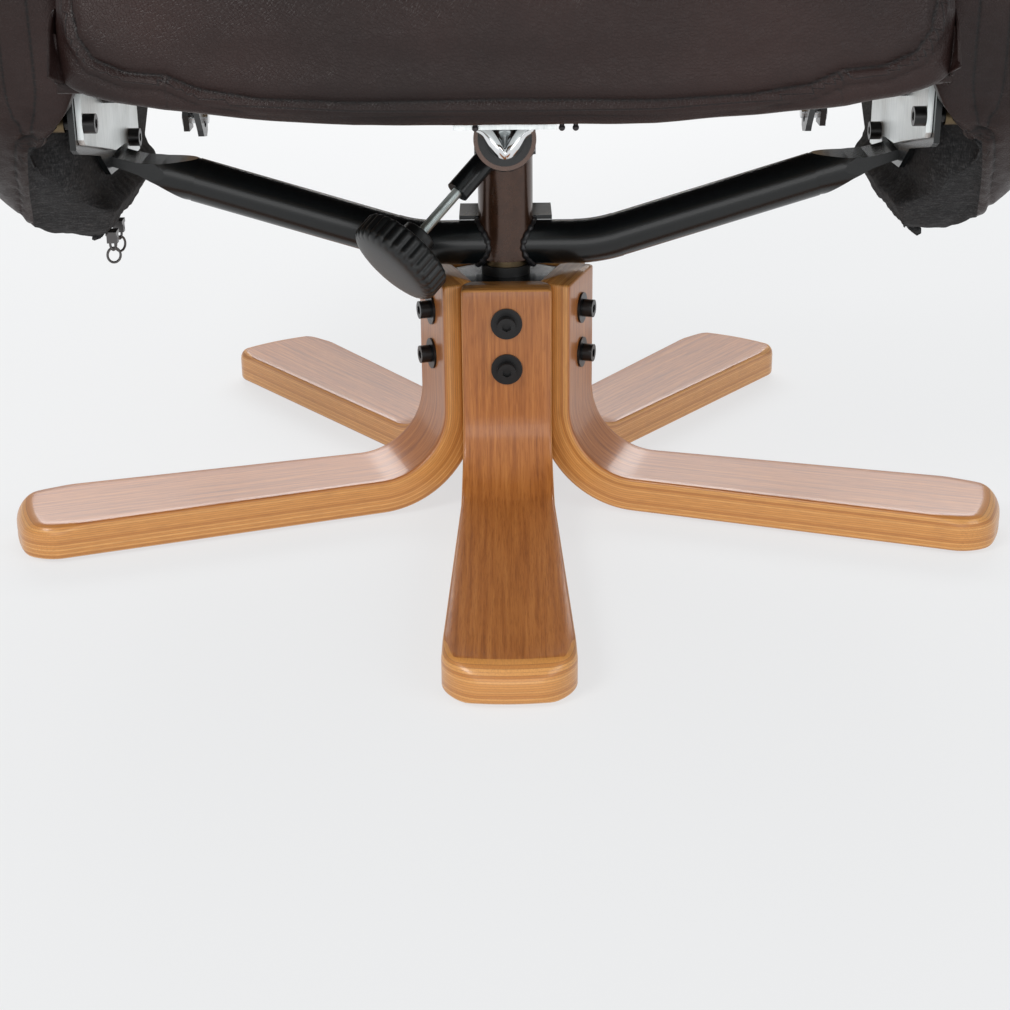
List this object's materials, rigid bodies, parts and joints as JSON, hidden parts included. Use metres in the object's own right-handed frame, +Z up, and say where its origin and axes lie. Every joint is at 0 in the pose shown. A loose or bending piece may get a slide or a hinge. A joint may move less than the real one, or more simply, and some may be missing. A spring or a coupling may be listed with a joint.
{
  "type": "recliner armchair",
  "caption": "Swivelling leather recliner armchair on a bentwood star base; leaning back slides the seat forward against an adjustable friction clamp.",
  "frame": {"origin": "on the floor under the middle of the chair's bounding box; the swivel axis stands 38.5 mm in front of it", "axes": "+Z up, the chair faces -Y, +X is the viewer's right when looking at the chair's front"},
  "size_m": [0.784, 0.8028, 0.9988],
  "materials": {
    "bentwood_veneer": "clear satin lacquer over a striped veneer",
    "black_steel": "satin black",
    "glide_plastic": "matt",
    "powder_coat": "satin black powder coat",
    "black_nylon": "satin",
    "turned_steel": "turned",
    "bronze": "sintered",
    "zinc_plate": "bright zinc plate",
    "chrome_tube": "polished",
    "plywood": "sanded",
    "brown_leather": "grained, dark brown",
    "grey_lining": "non-woven felt, dark grey",
    "zip_metal": "dark antique",
    "spring_wire": "dark",
    "white_nylon": "matt",
    "black_webbing": "woven elastic",
    "knob_plastic": "satin moulded"
  },
  "bodies": {
    "base": {"leg_front": "bentwood_veneer", "leg_right_front": "bentwood_veneer", "leg_right_rear": "bentwood_veneer", "leg_left_rear": "bentwood_veneer", "leg_left_front": "bentwood_veneer", "leg_bolts": "black_steel", "leg_washers": "black_steel", "leg_glides": "glide_plastic", "hub_housing": "powder_coat", "swivel_bush": "black_nylon"},
    "carriage": {"swivel_spindle": "turned_steel", "spindle_circlip": "black_steel", "thrust_washer": "bronze", "column_tube": "powder_coat", "clamp_sleeve": "powder_coat", "sleeve_bush": "black_nylon", "tension_boss": "powder_coat", "support_tube_left": "powder_coat", "support_tube_right": "powder_coat", "gusset_plate": "powder_coat", "side_bracket_left": "powder_coat", "side_bracket_right": "powder_coat", "mechanism_plate_left": "zinc_plate", "mechanism_plate_right": "zinc_plate", "plate_bolts": "black_steel", "pivot_bolts": "turned_steel", "arm_frame_left": "plywood", "arm_frame_right": "plywood", "arm_inserts": "bronze", "arm_pad_left": "brown_leather", "arm_pad_right": "brown_leather", "arm_lining_left": "grey_lining", "arm_lining_right": "grey_lining", "zip_sliders": "zip_metal"},
    "seat": {"slide_rod": "chrome_tube", "rod_front_strip": "zinc_plate", "rod_rear_hanger": "powder_coat", "seat_side_rails": "plywood", "seat_cross_rails": "plywood", "seat_springs": "spring_wire", "cover_hooks": "spring_wire", "seat_lugs": "powder_coat", "seat_cushion": "brown_leather", "seat_border": "brown_leather"},
    "back": {"back_uprights": "powder_coat", "back_cross_tubes": "powder_coat", "back_lugs": "powder_coat", "crank_pins": "turned_steel", "pivot_bushes": "white_nylon", "back_webbing": "black_webbing", "back_cushion": "brown_leather", "head_pillow": "brown_leather", "back_cover": "brown_leather"},
    "pad": {"brake_pad": "bronze"},
    "screw": {"tension_screw": "zinc_plate", "tension_knob": "knob_plastic"},
    "zip_front": {"zip_pull_front": "zip_metal"},
    "zip_rear": {"zip_pull_rear": "zip_metal"}
  },
  "joints": [
    {"name": "swivel", "type": "hinge", "parent": "base", "child": "carriage", "pos_m": [0, -0.0385, 0.13], "axis": [0, 0, 1], "continuous": true},
    {"name": "back_recline", "type": "hinge", "parent": "carriage", "child": "back", "pos_m": [0, 0.2065, 0.348], "axis": [-1, 0, 0], "range_deg": [0, 26]},
    {"name": "seat_slide", "type": "slide", "parent": "carriage", "child": "seat", "axis": [0, -0.9848, 0.1736], "range_m": [0, 0.0496]},
    {"name": "pad_feed", "type": "slide", "parent": "carriage", "child": "pad", "axis": [-0.6293, -0.4785, -0.6124], "range_m": [-0.00022, 0.00127]},
    {"name": "knob_turn", "type": "hinge", "parent": "pad", "child": "screw", "pos_m": [0, -0.04835, 0.26974], "axis": [-0.6293, -0.4785, -0.6124], "range_deg": [-60, 360]},
    {"name": "zip_front_swing", "type": "hinge", "parent": "carriage", "child": "zip_front", "pos_m": [-0.294, -0.0125, 0.1899], "axis": [1, 0, 0], "range_deg": [-60, 60]},
    {"name": "zip_rear_swing", "type": "hinge", "parent": "carriage", "child": "zip_rear", "pos_m": [-0.294, 0.0135, 0.192], "axis": [1, 0, 0], "range_deg": [-60, 60]}
  ],
  "couplings": [
    {"joint": "seat_slide", "follows": "back_recline", "m_per_rad": 0.10906},
    {"joint": "pad_feed", "follows": "knob_turn", "m_per_rad": 0.00019894}
  ]
}
